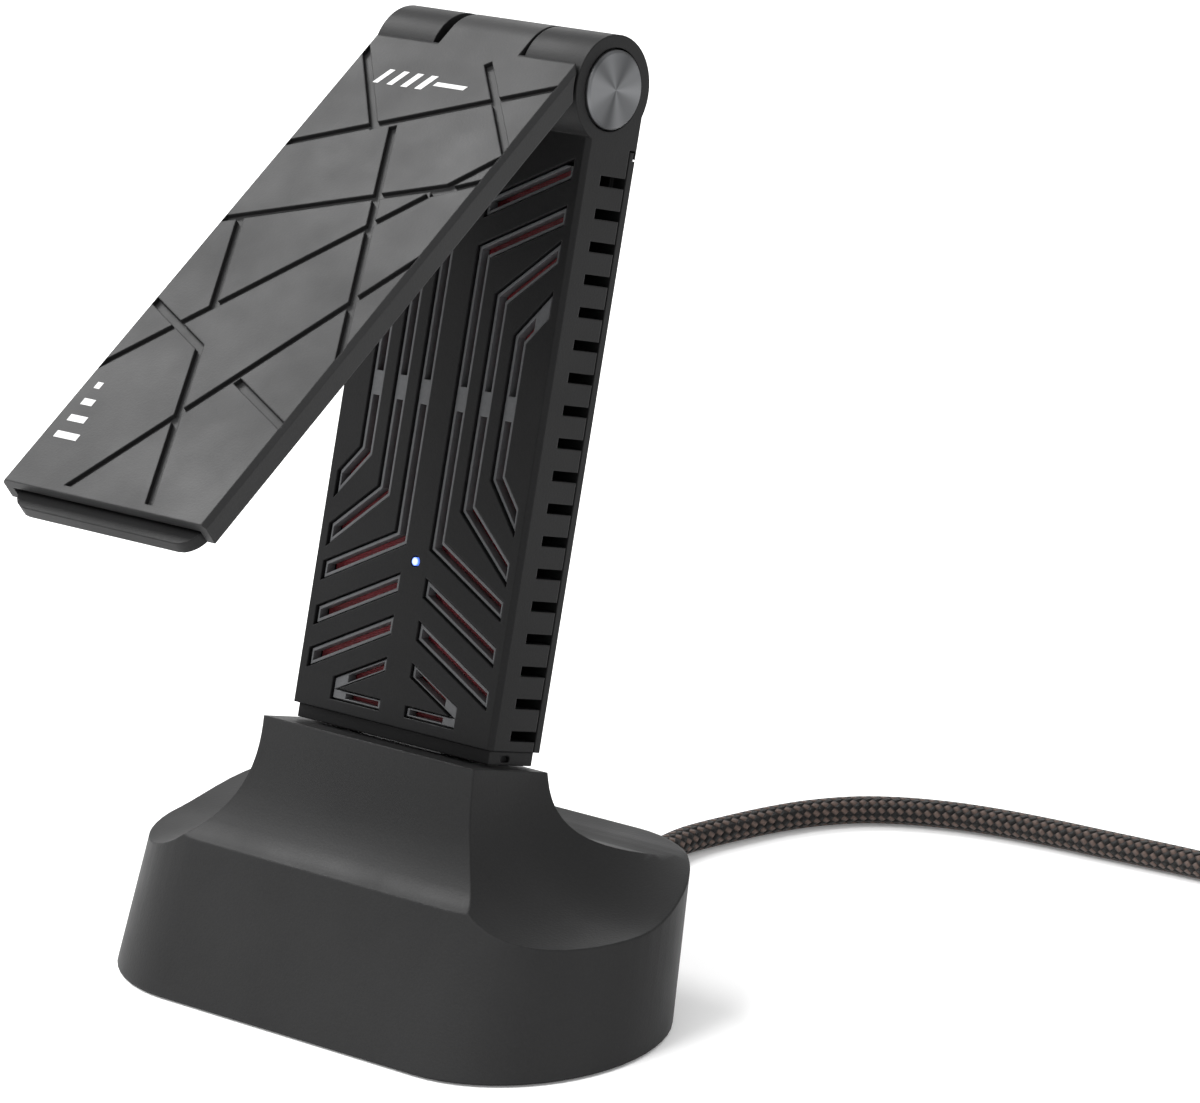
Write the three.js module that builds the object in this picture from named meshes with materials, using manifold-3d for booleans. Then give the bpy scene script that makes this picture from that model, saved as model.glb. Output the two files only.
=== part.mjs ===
// USB wifi adapter with a folding antenna flap, standing in a leaning desk cradle.
// Millimetres, +Z up. The origin is the centre of the cradle's foot and the front faces -Y.
import * as THREE from 'three';
import { mergeVertices } from 'three/addons/utils/BufferGeometryUtils.js';
import Module from 'manifold-3d';

const wasm = await Module();
wasm.setup();

// ---- driving dimensions, in millimetres and degrees ----
const GAP = 0.3; // clearance between pieces that are assembled together
const FINE_GAP = 0.2; // clearance where a joint line shows on the outside
const DEG = Math.PI / 180;

// the adapter body, in its own frame: origin at the centre of its bottom end, +Z towards the hinge
const WIDTH = 30; // across the body and the flap
const BODY_DEPTH = 8.5; // vent face to back
const HINGE_HEIGHT = 71.8; // body's bottom end to the hinge axis
const FLAP_DEPTH = 3; // the flap, face to inner side
const BARREL_RADIUS = (BODY_DEPTH + FLAP_DEPTH + GAP) / 2; // flush with the body's back and the flap
const FRONT_WALL = 0.8;
const SIDE_WALL = 1.5;
const BOTTOM_WALL = 1.0;
const COVER_THICK = 1.4; // back cover
const COVER_TOP = HINGE_HEIGHT - BARREL_RADIUS - 1.3; // upper end of the back cover
const COVER_LIP = [0.9, 0.55]; // lip on the cover's upper end, tucked under the shell: reach, thickness
const EDGE = 0.5; // small bevel along the long outer edges

// the vent pattern of the front face; its centre lines are given on the +X side as [x, z]
const VENT_WIDTH = 2.0; // slot in the shell
const VENT_SLOT = 0.95; // slot in the grey frame inside it
const VENT_RECESS = 0.3; // grey frame below the face
const VENT_SIDE = WIDTH / 2 - 1.5; // outer end of the slots from the middle
const VENT_REACH = 14.6; // the centre lines below stop here and are carried on past the slots' ends
const VENT_MIDDLE = 1.85; // inner end of the sloping slots
const BRIDGE_Z = [HINGE_HEIGHT / 2 - 0.9, HINGE_HEIGHT / 2 + 1.8]; // the grey frame closes the long slots
const LONG_VENTS = [
  [[14.6, 14.3], [2.7, 20.25], [2.7, HINGE_HEIGHT - 19.35], [14.6, HINGE_HEIGHT - 13.4]],
  [[14.6, 17.9], [6.25, 24.9], [6.25, HINGE_HEIGHT - 24], [14.6, HINGE_HEIGHT - 17]],
  [[14.6, 23.2], [9.8, 28.8], [9.8, HINGE_HEIGHT - 27.9], [14.6, HINGE_HEIGHT - 22.3]],
];
const SHORT_VENTS = [
  [[14.6, 9.3], [0.9, 16.0]],
  [[14.6, 4.6], [0.9, 11.3]],
  [[14.6, HINGE_HEIGHT - 8.4], [0.9, HINGE_HEIGHT - 15.1]],
];
const LOW_VENT_END = 9.3; // outer end of the small pair at the bottom
const LOW_VENT = [[10.2, 2.45], [0.9, 6.9]];
const LOW_VENT_WIDTH = 1.5;
const LOW_VENT_BAR = [[10.2, 1.9], [0.9, 1.9]];
const LOW_BAR_WIDTH = 1.3;

// the notches along both side walls
const NOTCH_TOP = COVER_TOP - 2; // upper edge of the highest notch
const NOTCH_PITCH = 3.55;
const NOTCH_HEIGHT = 1.12;
const NOTCH_COUNT = 1 + Math.floor((NOTCH_TOP - NOTCH_HEIGHT - BOTTOM_WALL) / NOTCH_PITCH);
const NOTCH_LENGTH = 4.0;

// the status light
const LIGHT_Z = 18.1;
const LIGHT_RADIUS = 0.45;

// the hinge
const EAR_INNER = 6.7; // inner face of each ear from the middle
const TONGUE_LEFT = EAR_INNER - 1.3; // the flap's tongue sits close to the right ear
const TONGUE_RIGHT = EAR_INNER - 0.4;
const WASHER_THICK = 0.4;
const PIN_RADIUS = 1.1;
const DISC_RADIUS = BARREL_RADIUS - 1.6; // spun metal discs on both hinge ends
const DISC_PROUD = 0.45;
const DISC_THICK = 1.1;
const FLAP_OPEN = 41; // flap's angle from closed, as it stands here

// the flap, in its own frame: origin on the hinge axis, closed, hanging along -Z
const FLAP_LENGTH = HINGE_HEIGHT - 0.4; // hinge axis to the end of the cover
const FLAP_PLATE = 1.1; // patterned plate
const FLAP_WALL = 1.2; // side walls of the cover
const TRAY_PROUD = 1.8; // inner tray past the end of the cover
const TRAY_STEP = 0.35; // inner tray below the cover's side walls
const TRAY_FLOOR = 0.6;
const TRAY_CORNER = 2.5;
const TRAY_START = BARREL_RADIUS + 1.6; // inner tray's upper end from the hinge axis
const TRAY_WALL = 1;
const EAR_CLEARANCE = 0.45; // flap around the ears
const GROOVE_WIDTH = 0.95;
const GROOVE_DEPTH = 0.55;
const GROOVE_SIDE = WIDTH / 2 - 0.5; // grooves end here, from the middle
const GROOVE_REACH = 15.5; // the centre lines below stop here and are carried on past the grooves' ends
const GROOVE_END = FLAP_LENGTH - 1; // and here, from the hinge axis
// centre lines of the grooves as [x, distance from the hinge axis]
const FLAP_GROOVES = [
  [[-15.5, 20.25], [15.5, 5.9]],
  [[-15.5, 32.15], [10.9, 22.2], [15.5, 16.27]],
  [[9.6, 23.6], [15.5, 20.4]],
  [[-15.5, 55.4], [9.4, 23.9]],
  [[-2.4, 15.1], [15.5, 48.4]],
  [[-15.5, 3.6], [-4.6, 15.9]],
  [[3.2, 4.2], [15.5, 17.0]],
  [[-12.3, 31.4], [-6.4, 43.7]],
  [[-15.5, 44.0], [-3.75, 49.3], [6.5, 71.2]],
  [[15.5, 31.2], [-6.5, 71.6]],
  [[4.5, 52.7], [15.5, 57.6]],
];

// the USB-A plug, standard sizes
const PLUG_WIDTH = 12;
const PLUG_DEPTH = 4.5;
const PLUG_LENGTH = 18.5;
const PLUG_WALL = 0.3;
const PLUG_Y = BODY_DEPTH / 2 - COVER_THICK - PLUG_DEPTH / 2 - GAP; // plug lies against the back cover
const CONTACT_COUNT = 4;
const CONTACT_PITCH = 2.3;
const CONTACT_WIDTH = 1.1;
const CONTACT_THICK = 0.2;

// the collar under the body
const COLLAR_HEIGHT = 1.6;
const COLLAR_INSET = 0.7;

// the cradle
const LEAN = 18; // body leans back from upright
const SEAT_Y = 6.6; // centre of the body's bottom end
const SEAT_Z = 28.8;
const FOOT_HALF_LENGTH = 35.9;
const FOOT_HALF_DEPTH = 16.7;
const END_DRAFT = 3.5; // taper of the two ends
const FACE_DRAFT = 4.8; // taper of the front and back
const WALL_LEAN = LEAN + 2; // cradle's walls lean back with the adapter
const NECK_HALF_WIDTH = WIDTH / 2 + 0.8;
const NECK_FRONT_Y = SEAT_Y - BODY_DEPTH / 2 - 3.25;
const NECK_BACK_Y = SEAT_Y + BODY_DEPTH / 2 - 0.75;
const NECK_TOP = SEAT_Z + 0.7; // where the hollow curves of the sides and the front begin
const NECK_BACK_TOP = SEAT_Z - 2.8;
const NECK_HOLLOW = 11.5; // room for the socket, from the middle to each side
const SIDE_CURVE = [FOOT_HALF_LENGTH - NECK_HALF_WIDTH + 0.1, 16.3, 2.5]; // reach, drop and fullness
const FRONT_CURVE = [7.5, 13.3, 2.5];
const BACK_CURVE = [14, 9.6, 2.8];
const CURVE_LEAN = 14; // the front and back curves lean forward as they drop
const SIDE_RISE = 2.7; // side curves come up by this much towards the back
const RISE_FROM = 3;
const RISE_TO = 17;
const SHELL_WALL = 2.2;
const CAVITY_TOP = 10.8;
const RIM_Z = 0.3; // shell's lower rim above the table
const PAD_THICK = 0.9;
const PLATE_THICK = 1.4;
const BOSS_RADIUS = 2.6;
const SCREW_X = FOOT_HALF_LENGTH - FOOT_HALF_DEPTH - 0.2;
const SCREW_FRONT_Y = 7.9 - FOOT_HALF_DEPTH;
const SCREW_BACK_Y = FOOT_HALF_DEPTH - 5.3;
const SOCKET_LENGTH = 16.4;

// the cable
const CABLE_DIAMETER = 3.2;
const CABLE_SIDES = 8;
const EXIT_Z = 6; // where it leaves the cradle's back
const RELIEF_START_Y = FOOT_HALF_DEPTH - 3.5; // strain relief, through the cradle's back wall
const RELIEF_END_Y = RELIEF_START_Y + 13.8;
const RELIEF_RADIUS = CABLE_DIAMETER / 2 + 0.6;
const CABLE_Z = CABLE_DIAMETER / 2 + 0.1;
const LEAD_Y = 77.8; // the cable runs along X here when it meets the coil
const COIL_RADIUS = 18; // middle of the turns
const TURN_STEP = CABLE_DIAMETER + 0.05; // from one turn to the next
const COIL_HALF_WIDTH = 1.5 * TURN_STEP + 0.125; // three turns side by side
const COIL_HEIGHT = 2.75 * CABLE_DIAMETER + 0.2; // three layers
const COIL_CENTRE = [107, LEAD_Y - COIL_RADIUS - TURN_STEP];
const TAIL_Y = COIL_CENTRE[1] + COIL_RADIUS + TURN_STEP / 2; // the last turn leaves here
const FAR_BODY_LENGTH = 26;
const FAR_BODY_WIDTH = 15.5;
const FAR_BODY_DEPTH = 7.6;
const FAR_RELIEF = 6; // stub that the cable enters
const FAR_PLUG_X = COIL_CENTRE[0] + COIL_RADIUS + COIL_HALF_WIDTH + FAR_BODY_WIDTH / 2 + 1.3;
const TAIL_BEND = 22; // the last of the cable turns back beside the coil
const FAR_PLUG_Y = TAIL_Y - TAIL_BEND - FAR_RELIEF - GAP; // start of the plug's moulding
// centre line from the strain relief to the coil, lying on the table after the first few points
const CABLE_ROUTE = [
  [0, RELIEF_END_Y + GAP, EXIT_Z], [0, RELIEF_END_Y + 4, EXIT_Z - 0.5], [-0.3, 36, 4.0],
  [-0.7, 41, 2.5], [-0.9, 46, CABLE_Z],
  [-0.7, 51, CABLE_Z], [1.0, 56.5, CABLE_Z], [3.0, 61.5, CABLE_Z], [5.6, 66.0, CABLE_Z],
  [9.4, 70.0, CABLE_Z], [14.2, 72.8, CABLE_Z], [20, 74.8, CABLE_Z], [26.2, 76.0, CABLE_Z],
  [33, 76.7, CABLE_Z], [40, 77.1, CABLE_Z], [46.5, 77.5, CABLE_Z], [53, LEAD_Y, CABLE_Z],
  [62, LEAD_Y, CABLE_Z], [72, LEAD_Y, CABLE_Z], [83, LEAD_Y, CABLE_Z],
  [COIL_CENTRE[0] - 13, LEAD_Y, CABLE_Z],
];

// ---- materials ----
function material(color, roughness, metalness) {
  return new THREE.MeshStandardMaterial({ color, roughness, metalness });
}
const BLACK = material(0x232425, 0.55, 0);
const BLACK_SOFT = material(0x1c1c1d, 0.75, 0);
const GREY = material(0x5b5d60, 0.5, 0);
const RED = material(0x6a1018, 0.6, 0);
const STEEL = material(0xb9bcc0, 0.3, 1);
const SPUN = material(0x8d9094, 0.35, 1);
const GOLD = material(0xc9a24a, 0.3, 1);
const BOARD = material(0x14532d, 0.5, 0);
const WHITE = material(0xe8e8e4, 0.5, 0);
const LIGHT = material(0x4a78ff, 0.3, 0);
const PAD = material(0x4f5358, 0.8, 0);
const CABLE = material(0x2c2422, 0.8, 0);

// ---- shapes ----
function toSolid(geometry) {
  const bare = geometry.clone();
  bare.deleteAttribute('normal');
  bare.deleteAttribute('uv');
  const merged = mergeVertices(bare, 1e-5);
  return new wasm.Manifold(new wasm.Mesh({
    numProp: 3,
    vertProperties: new Float32Array(merged.attributes.position.array),
    triVerts: new Uint32Array(merged.index.array),
  }));
}

function toGeometry(solid) {
  const mesh = solid.getMesh();
  const indexed = new THREE.BufferGeometry();
  indexed.setAttribute('position', new THREE.BufferAttribute(mesh.vertProperties, 3));
  indexed.setIndex(new THREE.BufferAttribute(mesh.triVerts, 1));
  const geometry = indexed.toNonIndexed();
  geometry.computeVertexNormals();
  return geometry;
}

function box(x0, x1, y0, y1, z0, z1) {
  const geometry = new THREE.BoxGeometry(x1 - x0, y1 - y0, z1 - z0);
  geometry.translate((x0 + x1) / 2, (y0 + y1) / 2, (z0 + z1) / 2);
  return toSolid(geometry);
}

function extrude(points, depth, steps = 1) {
  const shape = new THREE.Shape(points.map(([a, b]) => new THREE.Vector2(a, b)));
  return new THREE.ExtrudeGeometry(shape, { depth, bevelEnabled: false, steps });
}

// a [y, z] outline carried along X
function alongX(points, x0, x1) {
  const geometry = extrude(points, x1 - x0);
  const turn = new THREE.Matrix4().makeBasis(
    new THREE.Vector3(0, 1, 0), new THREE.Vector3(0, 0, 1), new THREE.Vector3(1, 0, 0));
  geometry.applyMatrix4(turn);
  geometry.translate(x0, 0, 0);
  return toSolid(geometry);
}

// an [x, z] outline carried along Y
function alongY(points, y0, y1) {
  const geometry = extrude(points, y1 - y0);
  geometry.rotateX(90 * DEG);
  geometry.translate(0, y1, 0);
  return toSolid(geometry);
}

// an [x, y] outline carried along Z
function alongZ(points, z0, z1) {
  const geometry = extrude(points, z1 - z0);
  geometry.translate(0, 0, z0);
  return toSolid(geometry);
}

function circle(radius, a, b, segments = 48) {
  const points = [];
  for (let i = 0; i < segments; i += 1) {
    const t = (2 * Math.PI * i) / segments;
    points.push([a + radius * Math.cos(t), b + radius * Math.sin(t)]);
  }
  return points;
}

function rodX(radius, x0, x1, y, z, segments = 48) {
  return alongX(circle(radius, y, z, segments), x0, x1);
}

function rodY(radius, y0, y1, x, z, segments = 24) {
  return alongY(circle(radius, x, z, segments), y0, y1);
}

function rodZ(radius, z0, z1, x, y, segments = 24) {
  return alongZ(circle(radius, x, y, segments), z0, z1);
}

function all(solids) {
  return solids.reduce((sum, next) => sum.add(next));
}

// the outline of a band of even width that follows a path with mitred corners
function band(path, width) {
  const half = width / 2;
  const offsets = path.map((point, i) => {
    const before = path[Math.max(i - 1, 0)];
    const after = path[Math.min(i + 1, path.length - 1)];
    const first = i === 0 ? [after[0] - point[0], after[1] - point[1]]
      : [point[0] - before[0], point[1] - before[1]];
    const second = i === path.length - 1 ? first : [after[0] - point[0], after[1] - point[1]];
    const [a, b] = [first, second].map(([u, v]) => [u / Math.hypot(u, v), v / Math.hypot(u, v)]);
    const normal = [-(a[1] + b[1]), a[0] + b[0]];
    const length = Math.hypot(normal[0], normal[1]);
    const unit = [normal[0] / length, normal[1] / length];
    const stretch = half / (unit[0] * -a[1] + unit[1] * a[0]);
    return [unit[0] * stretch, unit[1] * stretch];
  });
  const left = path.map(([a, b], i) => [a + offsets[i][0], b + offsets[i][1]]);
  const right = path.map(([a, b], i) => [a - offsets[i][0], b - offsets[i][1]]);
  return left.concat(right.reverse());
}

function mirrored(path, side) {
  return path.map(([x, z]) => [x * side, z]);
}

// a line whose ends at one distance from the middle are carried straight on to another
function carried(path, from, to) {
  const end = ([x, z], [nearX, nearZ]) => {
    if (Math.abs(x) < from) return [x, z];
    const share = (Math.sign(x) * to - nearX) / (x - nearX);
    return [Math.sign(x) * to, nearZ + (z - nearZ) * share];
  };
  const last = path.length - 1;
  return [end(path[0], path[1]), ...path.slice(1, last), end(path[last], path[last - 1])];
}

// ---- the adapter body ----
const HALF = WIDTH / 2;
const FRONT = -BODY_DEPTH / 2;
const BACK = BODY_DEPTH / 2;
const HINGE_Y = BACK - BARREL_RADIUS;
const PARTING = BACK - COVER_THICK - FINE_GAP; // shell's edge at the joint with the cover
const FRAME_FACE = FRONT + VENT_RECESS;
const FRAME_BACK = FRONT + FRONT_WALL + GAP;
const FRAME_PLATE = 0.4;
const LINER_FRONT = FRAME_BACK + FRAME_PLATE + FINE_GAP;
const LINER_THICK = 0.35;
const INSIDE = HALF - SIDE_WALL;
const INSIDE_TOP = COVER_TOP - 1.2;

// one vent of the pattern, cut back by a margin and as wide as asked
function vent(path, width, inner, outer, margin, side, y0, y1) {
  const line = carried(path, VENT_REACH, VENT_SIDE + 1.1);
  const strip = alongY(band(mirrored(line, side), width), y0, y1);
  const near = Math.min((inner + margin) * side, (outer - margin) * side);
  const far = Math.max((inner + margin) * side, (outer - margin) * side);
  return strip.intersect(box(near, far, y0, y1, 0, HINGE_HEIGHT));
}

function ventSet(trim, slotOnly, y0, y1) {
  const solids = [];
  const size = (width) => (slotOnly ? Math.min(VENT_SLOT, width - 2 * FINE_GAP - 0.3) : width - 2 * trim);
  for (const side of [-1, 1]) {
    for (const path of LONG_VENTS) {
      solids.push(vent(path, size(VENT_WIDTH), 0, VENT_SIDE, trim, side, y0, y1));
    }
    for (const path of SHORT_VENTS) {
      solids.push(vent(path, size(VENT_WIDTH), VENT_MIDDLE, VENT_SIDE, trim, side, y0, y1));
    }
    solids.push(vent(LOW_VENT, size(LOW_VENT_WIDTH), VENT_MIDDLE, LOW_VENT_END, trim, side, y0, y1));
    solids.push(vent(LOW_VENT_BAR, size(LOW_BAR_WIDTH), VENT_MIDDLE, LOW_VENT_END, trim, side, y0, y1));
  }
  return all(solids);
}

function bodyOutline() {
  return [
    [-HALF, FRONT + EDGE], [-HALF + EDGE, FRONT], [HALF - EDGE, FRONT], [HALF, FRONT + EDGE],
    [HALF, BACK - EDGE], [HALF - EDGE, BACK], [-HALF + EDGE, BACK], [-HALF, BACK - EDGE],
  ];
}

function bodyShell() {
  let solid = alongZ(bodyOutline(), 0, HINGE_HEIGHT);
  solid = solid.add(rodX(BARREL_RADIUS, -HALF, HALF, HINGE_Y, HINGE_HEIGHT, 96));
  const tongueRoom = BARREL_RADIUS + GAP;
  solid = solid.subtract(rodX(tongueRoom, -EAR_INNER, EAR_INNER, HINGE_Y, HINGE_HEIGHT, 96));
  solid = solid.subtract(box(-EAR_INNER, EAR_INNER, FRONT - 5, BACK + 1,
    HINGE_HEIGHT - BARREL_RADIUS + 1.1, HINGE_HEIGHT + 20));
  const side = HALF + 1;
  solid = solid.subtract(box(-side, side, PARTING, BACK + 1, -1, COVER_TOP + FINE_GAP));
  const [reach, thick] = COVER_LIP;
  solid = solid.subtract(box(-side, side, PARTING, BACK - COVER_THICK + thick + FINE_GAP, COVER_TOP,
    COVER_TOP + reach + FINE_GAP));
  const hollow = box(-INSIDE, INSIDE, FRONT + FRONT_WALL, BACK + 1, BOTTOM_WALL, INSIDE_TOP);
  solid = solid.subtract(hollow);
  solid = solid.subtract(ventSet(0, false, FRONT - 1, FRONT + FRONT_WALL + 0.1));
  for (let i = 0; i < NOTCH_COUNT; i += 1) {
    const top = NOTCH_TOP - i * NOTCH_PITCH;
    const y0 = PARTING - NOTCH_LENGTH;
    solid = solid.subtract(box(-side, -INSIDE + 0.2, y0, PARTING + 1, top - NOTCH_HEIGHT, top));
    solid = solid.subtract(box(INSIDE - 0.2, side, y0, PARTING + 1, top - NOTCH_HEIGHT, top));
  }
  solid = solid.subtract(rodY(LIGHT_RADIUS + FINE_GAP, FRONT - 1, FRONT + 1.5, 0, LIGHT_Z));
  solid = solid.subtract(plugBlock(GAP, -1, BOTTOM_WALL + 1));
  solid = solid.subtract(rodX(PIN_RADIUS + GAP, -HALF + 1.3, HALF - 1.3, HINGE_Y, HINGE_HEIGHT));
  const pocket = DISC_THICK - DISC_PROUD + FINE_GAP;
  for (const [x0, x1] of [[-HALF - 1, -HALF + pocket], [HALF - pocket, HALF + 1]]) {
    solid = solid.subtract(rodX(DISC_RADIUS + FINE_GAP, x0, x1, HINGE_Y, HINGE_HEIGHT, 64));
  }
  return solid;
}

function backCover() {
  const plate = alongZ(bodyOutline(), 0, COVER_TOP);
  const skin = plate.subtract(box(-HALF - 1, HALF + 1, FRONT - 1, BACK - COVER_THICK, -1, COVER_TOP + 1));
  const rib = box(-INSIDE + GAP, INSIDE - GAP, BACK - COVER_THICK - 0.5, BACK - COVER_THICK + 0.1,
    COVER_TOP - 4, COVER_TOP - 2);
  const [reach, thick] = COVER_LIP;
  const lip = box(-HALF, HALF, BACK - COVER_THICK, BACK - COVER_THICK + thick, COVER_TOP - 1,
    COVER_TOP + reach);
  return skin.add(rib).add(lip);
}

// grey frame behind the face; its raised beads stand in the shell's slots
function ventFrame() {
  const margin = GAP;
  const plate = box(-INSIDE + margin, INSIDE - margin, FRAME_BACK, FRAME_BACK + FRAME_PLATE,
    BOTTOM_WALL + FINE_GAP, INSIDE_TOP - margin);
  const beads = ventSet(FINE_GAP, false, FRAME_FACE, FRAME_BACK + 0.1)
    .intersect(box(-INSIDE + margin, INSIDE - margin, FRONT, BACK, BOTTOM_WALL + FINE_GAP,
      INSIDE_TOP - margin));
  let slots = ventSet(FINE_GAP + 0.3, true, FRAME_FACE - 1, FRAME_BACK + FRAME_PLATE + 1);
  slots = slots.subtract(box(-20, 20, FRONT - 2, BACK, BRIDGE_Z[0], BRIDGE_Z[1]));
  for (const side of [-1, 1]) {
    const x0 = Math.min(side * (VENT_SIDE - 2.1), side * (VENT_SIDE + 0.5));
    slots = slots.subtract(box(x0, x0 + 2.6, FRONT - 2, BACK, HINGE_HEIGHT - 27.9, HINGE_HEIGHT - 20.8));
    const x1 = Math.min(side * 7.3, side * 9.6);
    slots = slots.subtract(box(x1, x1 + 2.3, FRONT - 2, BACK, 0, 4.6));
  }
  const lightHole = rodY(LIGHT_RADIUS + GAP + 0.1, FRONT - 1, BACK, 0, LIGHT_Z);
  return plate.add(beads).subtract(slots).subtract(lightHole);
}

function ventLiner() {
  const sheet = box(-INSIDE + 0.5, INSIDE - 0.5, LINER_FRONT, LINER_FRONT + LINER_THICK,
    BOTTOM_WALL + 0.3, INSIDE_TOP - 0.6);
  return sheet.subtract(rodY(LIGHT_RADIUS + GAP + 0.1, FRONT, BACK, 0, LIGHT_Z));
}

const BOARD_FRONT = 0.4;
const BOARD_THICK = 1.0;
const BOARD_BOTTOM = 4.6;
const BOARD_TOP = COVER_TOP - 3.6;
const BOARD_HALF = INSIDE - 0.9;

function mainBoard() {
  return box(-BOARD_HALF, BOARD_HALF, BOARD_FRONT, BOARD_FRONT + BOARD_THICK, BOARD_BOTTOM, BOARD_TOP);
}

function radioShield() {
  const front = LINER_FRONT + LINER_THICK + GAP;
  return box(3.6 - BOARD_HALF, BOARD_HALF - 3.6, front, BOARD_FRONT - GAP, BOARD_TOP - 37, BOARD_TOP - 9);
}

function thermalPad() {
  return box(2.6 - BOARD_HALF, BOARD_HALF - 2.6, BOARD_FRONT + BOARD_THICK + 0.15,
    BACK - COVER_THICK - 0.15, BOARD_TOP - 39, BOARD_TOP - 7);
}

// stepped so that it cannot fall out through the face
function lightPipe() {
  const stem = rodY(LIGHT_RADIUS, FRONT - 0.05, LINER_FRONT + LINER_THICK + 0.6, 0, LIGHT_Z);
  const foot = rodY(LIGHT_RADIUS + 0.6, LINER_FRONT + LINER_THICK + 0.3, BOARD_FRONT - 0.2, 0, LIGHT_Z);
  return stem.add(foot);
}

function lightChip() {
  return box(4.0, 5.6, BOARD_FRONT - 0.8, BOARD_FRONT - 0.15, LIGHT_Z - 0.5, LIGHT_Z + 0.5);
}

// ---- the USB-A plug of the adapter, opening towards -Z ----
const PLUG_TOP = BOARD_BOTTOM - GAP;
const PLUG_BOTTOM = -COLLAR_HEIGHT - PLUG_LENGTH;

function plugBlock(grow, z0, z1) {
  const x = PLUG_WIDTH / 2 + grow;
  return box(-x, x, PLUG_Y - PLUG_DEPTH / 2 - grow, PLUG_Y + PLUG_DEPTH / 2 + grow, z0, z1);
}

function plugCollar() {
  const flange = box(-HALF + COLLAR_INSET, HALF - COLLAR_INSET, FRONT + COLLAR_INSET,
    BACK - COLLAR_INSET, -COLLAR_HEIGHT, -0.1);
  return flange.subtract(plugBlock(GAP, -COLLAR_HEIGHT - 1, 1))
    .subtract(rodX(0.35, HALF - COLLAR_INSET - 0.5, HALF, -1.3, -0.95, 16))
    .subtract(rodX(0.35, HALF - COLLAR_INSET - 0.5, HALF, -0.5, -0.95, 16))
    .subtract(box(HALF - COLLAR_INSET - 0.5, HALF, -1.3, -0.5, -1.3, -0.6));
}

// the hollow metal shell and, in each broad face, its pair of square holes
function plugShellGeneric(top, bottom) {
  const outer = plugBlock(0, bottom, top);
  let solid = outer.subtract(plugBlock(-PLUG_WALL, bottom - 1, top + 1));
  const level = bottom + 6.2;
  for (const x of [3.1 - PLUG_WIDTH / 2, PLUG_WIDTH / 2 - 3.1]) {
    solid = solid.subtract(box(x - 1, x + 1, PLUG_Y - PLUG_DEPTH, PLUG_Y + PLUG_DEPTH, level, level + 2));
  }
  return solid;
}

const TONGUE_FRONT = PLUG_Y + 0.1;
const TONGUE_BACK = PLUG_Y + PLUG_DEPTH / 2 - PLUG_WALL - FINE_GAP;

function plugTongueGeneric(top, bottom) {
  const x = PLUG_WIDTH / 2 - PLUG_WALL - FINE_GAP;
  return box(-x, x, TONGUE_FRONT, TONGUE_BACK, bottom + 0.4, top - GAP);
}

function plugContactGeneric(index, bottom) {
  const x = (index - (CONTACT_COUNT - 1) / 2) * CONTACT_PITCH;
  const half = CONTACT_WIDTH / 2;
  return box(x - half, x + half, TONGUE_FRONT - 0.05 - CONTACT_THICK, TONGUE_FRONT - 0.05,
    bottom + 1.2, bottom + 9.2);
}

// ---- the hinge ----
function hingePin() {
  return rodX(PIN_RADIUS, -HALF + 1.6, HALF - 1.6, HINGE_Y, HINGE_HEIGHT, 32);
}

const WASHER_RADIUS = BARREL_RADIUS - 2.3;

// the left washer lies free in the gap, the right one in a recess of the tongue
function hingeWasher(side) {
  const half = WASHER_THICK / 2;
  const middle = side < 0 ? -(EAR_INNER + TONGUE_LEFT) / 2 : EAR_INNER - GAP - half;
  const disc = rodX(WASHER_RADIUS, middle - half, middle + half, HINGE_Y, HINGE_HEIGHT, 32);
  return disc.subtract(rodX(PIN_RADIUS + FINE_GAP, middle - 1, middle + 1, HINGE_Y, HINGE_HEIGHT, 32));
}

// turned disc with a shallow bevelled rim
function hingeDisc(side) {
  const profile = [
    [0, 0], [DISC_RADIUS, 0], [DISC_RADIUS, DISC_THICK - 0.25],
    [DISC_RADIUS - 0.25, DISC_THICK], [0, DISC_THICK],
  ];
  const geometry = new THREE.LatheGeometry(profile.map(([r, h]) => new THREE.Vector2(r, h)), 64);
  geometry.rotateZ(-90 * DEG * side);
  geometry.translate(side * (HALF + DISC_PROUD - DISC_THICK), HINGE_Y, HINGE_HEIGHT);
  return toSolid(geometry);
}

// ---- the flap ----
const FLAP_FACE = -BARREL_RADIUS;
const FLAP_INNER = FLAP_FACE + FLAP_DEPTH;

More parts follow.
